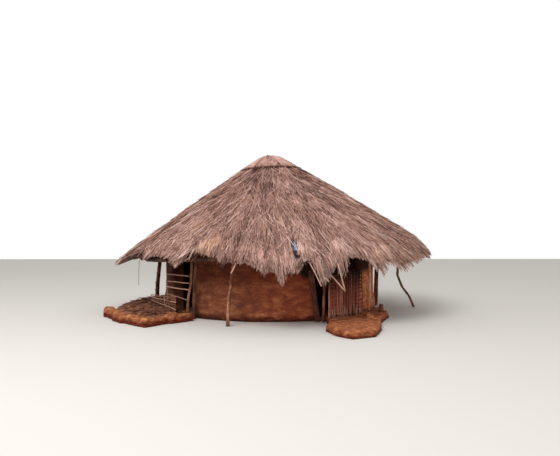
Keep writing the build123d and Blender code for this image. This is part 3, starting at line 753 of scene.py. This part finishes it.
# Poles and posts
# Branches cut in the bush and set up with their crooks and stubs, some still in dark bark
# and some peeled by goats and hands.
def wood(name, dark, body, light):
    """Weathered wood with its grain running up the pole.

    The grain is about 1 mm wide, and is drawn 12 mm wide, as coarse as it needs to show."""
    grain_width = 0.012
    material, tree, shader = new_material(name, 0.82, 0.25)
    place = add(tree, "ShaderNodeTexCoord", (-1300, 0)).outputs["Object"]
    drawn = add(tree, "ShaderNodeMapping", (-1100, 0), {"Vector": place, "Scale": (1, 1, 0.12)})
    fibres = add(tree, "ShaderNodeTexNoise", (-900, 100),
                 {"Vector": drawn.outputs[0], "Scale": 1 / grain_width, "Detail": 5,
                  "Roughness": 0.65})
    stains = add(tree, "ShaderNodeTexNoise", (-900, -200),
                 {"Vector": place, "Scale": 1 / 0.25, "Detail": 4})
    mixed = add(tree, "ShaderNodeMath", (-700, 0),
                {0: stains.outputs[0], 1: 0.8, 2: fibres.outputs[0]}, operation="MULTIPLY_ADD")
    shades = add(tree, "ShaderNodeValToRGB", (-500, 0), {0: mixed.outputs[0]})
    set_shades(shades, {0.65: dark, 0.9: body, 1.0: light})
    tree.links.new(shades.outputs[0], shader.inputs["Base Color"])
    bump = add(tree, "ShaderNodeBump", (-250, -300),
               {"Height": fibres.outputs[0], "Distance": 0.006, "Strength": 0.8})
    tree.links.new(bump.outputs[0], shader.inputs["Normal"])
    return material


# Bark is dark and dull. A branch peeled by goats or hands is pale, and browner where it is
# handled or half peeled. Smoke turns poles nearly black and the board a dull brown.
bark = wood("weathered bark", "#361d16", "#683c2e", "#905c49")
peeled = wood("dry peeled branch", "#b3714f", "#e6a37a", "#fbcba6")
brown = wood("brown half-peeled branch", "#46291d", "#7f4f3a", "#a97659")
handled = wood("branch worn by hands", "#43241a", "#83503b", "#bb8468")
smoked = wood("smoke-blackened pole", "#1c0f0b", "#42271d", "#69473a")
board_dark = wood("smoke-browned board", "#38201a", "#6a4035", "#8e5d4e")
slots = {row["node"]: row["material_slot"] for row in frame["record"]["subparts"]}
posts = ("front_left_post", "front_right_post", "left_post", "doorway_post", "doorway_prop",
         "forked_post", "right_post", "leaning_prop", "rear_post_1", "rear_post_2",
         "rear_post_3", "rear_post_4", "stump")
looks = {"front_left_post": handled, "front_right_post": handled, "forked_post": peeled}
for node in posts:
    post = copy_of(f"{node}_wood", node)
    weather(post, 0.013, ((0.12, 0.012, 0.5), (0.03, 0.006, 0.5)))
    look = looks.get(node, brown if slots[node] == "pale_wood" else bark)
    paint(post, look)
frame_nodes = ("left_door_head", "right_door_head", "ring_beam", "eave_beam", "laths",
               "crown_ring", "right_rafters", "rear_rafters", "left_rafters",
               "front_rafters", "leaning_board")
for node in frame_nodes:
    nodes[node].data.materials.clear()
    nodes[node].data.materials.append(board_dark if node == "leaning_board" else smoked)


# Fence, rails and screen
# Thin sticks: a low fence of long ones piled between short leaning ones, rails across the
# doorway, and a screen of uprights with split weavers passing before and behind them.
def crooked(starts, ends, rings, wander):
    """Paths between points, each wandering a little off the straight line."""
    share = np.linspace(0, 1, rings)[:, None]
    starts, ends = np.array(starts, float)[:, None], np.array(ends, float)[:, None]
    straight = starts + (ends - starts) * share
    sway = chance.normal(0, wander, (len(starts), 4, 3))
    waves = np.array([np.sin(math.pi * (turn + 1) * share[:, 0]) / (turn + 1)
                      for turn in range(4)])
    return straight + np.einsum("skc,kr->src", sway, waves)


def at(angle, out, height):
    """A point by its angle round the hut, its distance from the axis and its height."""
    turn = math.radians(angle)
    return (out * math.cos(turn), out * math.sin(turn), height)


def thin_wood(name, codes, head):
    """Thin sticks, shaded by a map: each by its height there, and with painted shade darker
    towards its head, by head.
    """
    material, tree, shader = new_material(name, 0.8, 0.25)
    strip = add(tree, "ShaderNodeUVMap", (-1000, 0), uv_map="OFBake")
    split = add(tree, "ShaderNodeSeparateXYZ", (-800, 0), {0: strip.outputs[0]})
    shades = add(tree, "ShaderNodeValToRGB", (-600, 100), {0: split.outputs["Y"]})
    set_shades(shades, {number / (len(codes) - 1): code for number, code in enumerate(codes)})
    blotches = add(tree, "ShaderNodeMapping", (-800, -300),
                   {0: strip.outputs[0], "Scale": (9, 60, 1)})
    bark_left = add(tree, "ShaderNodeTexNoise", (-600, -300),
                    {"Vector": blotches.outputs[0], "Scale": 1, "Detail": 4})
    # Painted shade from the eave: darker towards each stick's head, by head
    smoke = add(tree, "ShaderNodeMapRange", (-600, -550),
                {"Value": split.outputs["X"], "From Min": 0.4, "From Max": 0.9,
                 "To Min": 0.5, "To Max": 0.5 - head})
    dimming = add(tree, "ShaderNodeMath", (-400, -400),
                  {0: bark_left.outputs[0], 1: 0.9, 2: smoke.outputs[0]}, operation="MULTIPLY_ADD")
    shade = add(tree, "ShaderNodeMix", (-250, 0),
                {"Factor": 1.0, "A": shades.outputs[0], "B": dimming.outputs[0]},
                data_type="RGBA", blend_type="MULTIPLY")
    tree.links.new(shade.outputs["Result"], shader.inputs["Base Color"])
    return material


# Dry sticks are brown with pale peeled lengths. The screen's are redder, and painted shade
# from the eave darkens their heads.
thin = thin_wood("thin dry sticks", ("#3c2118", "#734735", "#a97862", "#deb19c"), 0.0)
screen_wood = thin_wood("red-brown split sticks with painted head shade",
                        ("#34150e", "#8e4839", "#bc6f5a", "#e4b29c"), 0.9)

stick_rings, stick_sides = 9, 7
bank_top = 0.13
fence_near = (226.4, 2.82)
fence_far = (179, 2.90)
rails = 7
starts = [at(*fence_near, bank_top + 0.015 + 0.052 * n) for n in range(rails)]
ends = [at(*fence_far, bank_top + 0.015 + 0.026 * n) for n in range(rails)]
stakes = 9
near, far = np.array(at(*fence_near, bank_top)), np.array(at(*fence_far, bank_top))
feet = [near + (far - near) * (0.02 + 0.045 * n) for n in range(stakes)]
tops = [foot + (far - near) * 0.06 * (-1) ** n + (0, 0, 0.36 - 0.014 * n)
        for n, foot in enumerate(feet)]
paths = crooked(starts + feet, ends + tops, stick_rings, 0.014)
widths = chance.uniform(0.008, 0.014, (len(paths), 1)) * np.linspace(1, 0.75, stick_rings)
fence = sticks("fence_sticks", paths, widths, stick_sides,
               chance.uniform(0.2, 0.85, len(paths)))
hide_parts("stick_fence")
paint(fence, thin)

rail_far, rail_near = (207.3, 2.575), (227.6, 2.53)
far_heights, near_heights = (0.440, 0.593, 0.713, 0.865), (0.370, 0.585, 0.723, 0.867)
starts = [at(*rail_far, h) for h in far_heights] + [at(*rail_far, bank_top)]
ends = [at(*rail_near, h) for h in near_heights] + [at(*rail_far, 0.9)]
paths = crooked(starts, ends, stick_rings, 0.006)
widths = chance.uniform(0.010, 0.014, (len(paths), 1)) * np.ones(stick_rings)
door_rails = sticks("door_rail_sticks", paths, widths, stick_sides,
                    chance.uniform(0.7, 0.95, len(paths)))
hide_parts("door_rails")
paint(door_rails, thin)

screen_near, screen_far = (291.8, 2.925), (313.2, 2.675)
step_top, screen_height = 0.12, 0.9
uprights = 46
near, far = np.array(at(*screen_near, step_top)), np.array(at(*screen_far, step_top))
outward = np.cross(far - near, (0, 0, 1.0))
outward /= np.linalg.norm(outward)
share = np.linspace(0, 1, uprights)
feet = near + (far - near) * share[:, None] + outward * chance.normal(0, 0.006, (uprights, 1))
heads = feet + (0, 0, screen_height) + (far - near) * chance.normal(0, 0.012, (uprights, 1))
paths = crooked(feet, heads, stick_rings, 0.006)
widths = chance.uniform(0.010, 0.014, (uprights, 1)) * np.linspace(1.0, 0.85, stick_rings)
bars = sticks("screen_uprights", paths, widths, stick_sides, chance.uniform(0.1, 0.85, uprights))
paint(bars, screen_wood)
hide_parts("woven_screen")
# The weavers, from the lowest up, pass before one upright and behind the next
weavers, first_weaver, weaver_gap = 11, 0.06, 0.075
weaver_radius, weaver_sides, weaver_sway = 0.009, 4, 0.012
stretch = np.linspace(0, 1, (uprights - 1) * 2 + 1)
weave_paths = []
for n in range(weavers):
    height = first_weaver + weaver_gap * n + 0.008 * np.sin(stretch * 9 + n)
    wave = weaver_sway * np.cos(stretch * (uprights - 1) * math.pi + math.pi * (n % 2))
    line = near + (far - near) * stretch[:, None] + outward * wave[:, None]
    line[:, 2] += height
    weave_paths.append(line)
# Painted shade: the higher a weaver lies, towards the eave, the darker it is, and its material
# darkens it towards its far end
weaving = sticks("screen_weavers", np.array(weave_paths),
                 np.full((weavers, len(stretch)), weaver_radius), weaver_sides,
                 np.linspace(0.8, 0.3, weavers))
paint(weaving, screen_wood)

# The feet of the uprights splay out unevenly below the lowest weaver
comb = 34
share = np.sort(chance.uniform(0.0, 1.0, comb))
feet = near + (far - near) * share[:, None] + outward * chance.uniform(0.02, 0.09, (comb, 1))
tips = feet + (0, 0, 0.13) - outward * 0.02 + (0, 0, 1) * chance.uniform(-0.05, 0.10, (comb, 1))
tips += (far - near) * chance.normal(0, 0.012, (comb, 1))
paths = crooked(feet, tips, 3, 0.003)
widths = np.full((comb, 1), 0.009) * np.array((1, 0.9, 0.5))
comb_sticks = sticks("screen_feet", paths, widths, 6,
                     chance.uniform(0.5, 1.0, comb))
paint(comb_sticks, thin)


# Loose sticks at the eave
# Ends of laths and ties, dry and pale, that have worked loose and hang from the ragged edge
# at the front.
loose = [((1.016, -3.42, 1.02), (1.30, -3.44, 0.706)),
         ((1.30, -3.44, 0.706), (1.15, -3.60, 1.20)),
         ((-0.60, -3.36, 1.25), (-0.73, -3.40, 1.02)),
         ((-1.673, -2.62, 1.217), (-1.54, -2.62, 1.32)),
         ((0.66, -3.50, 1.22), (0.84, -3.85, 0.83)),
         ((0.80, -3.50, 1.16), (0.965, -3.85, 0.905)),
         ((-2.90, -1.07, 1.34), (-2.92, -1.09, 0.62))]
thick = np.array((0.012,) * 6 + (0.005,))[:, None] * np.ones(5)
paths = crooked([a for a, b in loose], [b for a, b in loose], 5, 0.004)
loose_sticks = sticks("loose_eave_sticks", paths, thick, 7,
                      np.array((0.95, 0.95, 0.9, 0.95, 0.8, 0.8, 0.5)))
paint(loose_sticks, thin)

# Litter
# Broken straw and twigs that have fallen from the eave on the bank and been trodden into
# its earth.
litter_count, litter_radius, litter_sides = 170, 0.006, 4
turns = np.radians(chance.uniform(158, 226, litter_count))
outs = chance.uniform(2.62, 3.42, litter_count)
middles = np.stack((outs * np.cos(turns), outs * np.sin(turns),
                    np.full(litter_count, bank_top + 0.002)), axis=-1)
lies = chance.uniform(0, math.pi, litter_count)
halves = np.stack((np.cos(lies), np.sin(lies), np.zeros(litter_count)), axis=-1)
halves *= chance.uniform(0.03, 0.11, (litter_count, 1))
litter = sticks("bank_litter", np.stack((middles - halves, middles + halves), axis=1),
                np.full((litter_count, 2), litter_radius), litter_sides,
                0.8 * chance.uniform(0.0, 1.0, litter_count) ** 3)
paint(litter, thin)
